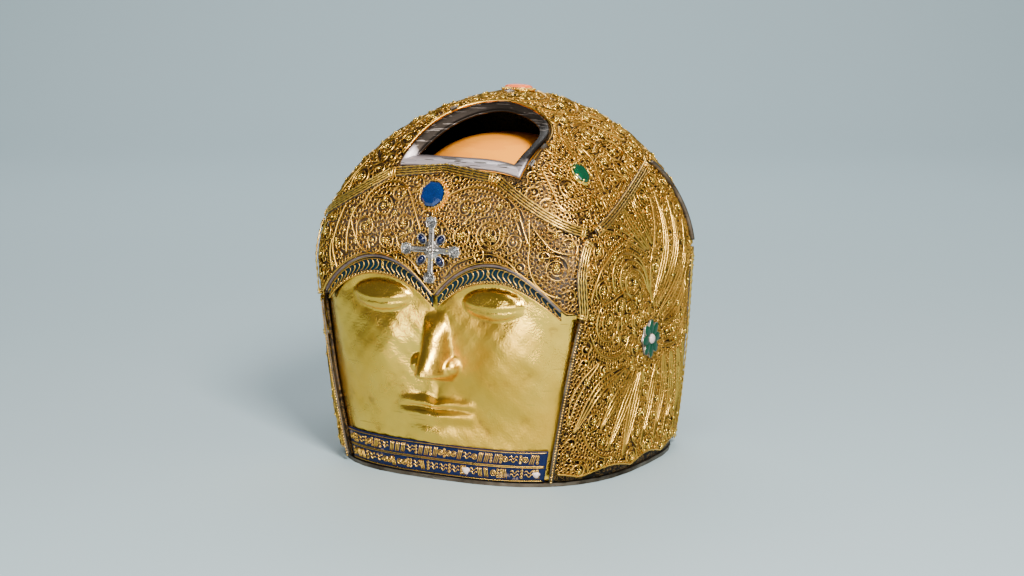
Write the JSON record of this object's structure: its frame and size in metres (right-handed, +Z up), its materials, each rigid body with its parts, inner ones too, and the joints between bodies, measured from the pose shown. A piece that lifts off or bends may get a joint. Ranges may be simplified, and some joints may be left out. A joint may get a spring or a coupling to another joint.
{
  "type": "head reliquary",
  "caption": "Head-shaped reliquary: calm gilt mask under gilt filigree panels, enamel brow and inscription bands, jewels, and an arched crown window over a relic form.",
  "frame": {"origin": "the middle of the underside of the base plate", "axes": "the mask looks along -Y, +X is the viewer's right when facing the mask, +Z is up"},
  "size_m": [0.1814, 0.1774, 0.2059],
  "materials": {
    "gilt_sheet": "hammered gilt sheet, worn and lightly scratched",
    "filigree": "gilt wire filigree over dark patinated silver",
    "gilt_wire": "twisted gilt wire and granulation, dark in the grooves",
    "silver": "tarnished silver sheet",
    "blue_enamel": "worn dark blue enamel between gilt wires",
    "green_enamel": "glossy green enamel",
    "relic": "smooth honey-coloured surface with a faint grain",
    "sapphire": "polished blue stone",
    "emerald": "polished green stone",
    "coral": "polished orange-red stone",
    "crystal": "polished clear stone"
  },
  "bodies": {
    "root": {"back_band": "gilt_wire", "back_panel": "filigree", "base_plate": "silver", "brow_band_left": "blue_enamel", "brow_band_right": "blue_enamel", "catch_knuckle_left": "silver", "cheek_strip_left": "silver", "cheek_strip_right": "silver", "coral": "coral", "coral_setting": "gilt_wire", "cross_sapphire_lower_left": "sapphire", "cross_sapphire_lower_right": "sapphire", "cross_sapphire_upper_left": "sapphire", "cross_sapphire_upper_right": "sapphire", "cross_stone_bottom": "crystal", "cross_stone_left": "crystal", "cross_stone_right": "crystal", "cross_stone_top": "crystal", "crown_edge_band_left": "gilt_wire", "crown_edge_band_right": "gilt_wire", "crown_panel": "filigree", "crown_rear_rim_left": "silver", "crown_rear_rim_right": "silver", "crown_stone_front": "crystal", "emerald": "emerald", "emerald_setting": "gilt_wire", "enamel_flower": "green_enamel", "face_plate": "gilt_sheet", "flower_mount": "silver", "flower_stone": "crystal", "forehead_band_left": "gilt_wire", "forehead_band_middle": "gilt_wire", "forehead_band_right": "gilt_wire", "forehead_cross": "silver", "forehead_panel": "filigree", "hinge_knuckle_right_front": "silver", "hinge_knuckle_right_rear": "silver", "inscription_band": "blue_enamel", "opening_collar": "silver", "rear_band_left": "gilt_wire", "rear_band_right": "gilt_wire", "relic_form": "relic", "sapphire": "sapphire", "sapphire_setting": "gilt_wire", "side_panel_left": "filigree", "side_panel_right": "filigree", "side_rosette_left": "gilt_wire", "temple_band_left": "gilt_wire", "temple_band_right": "gilt_wire"}
  },
  "joints": []
}
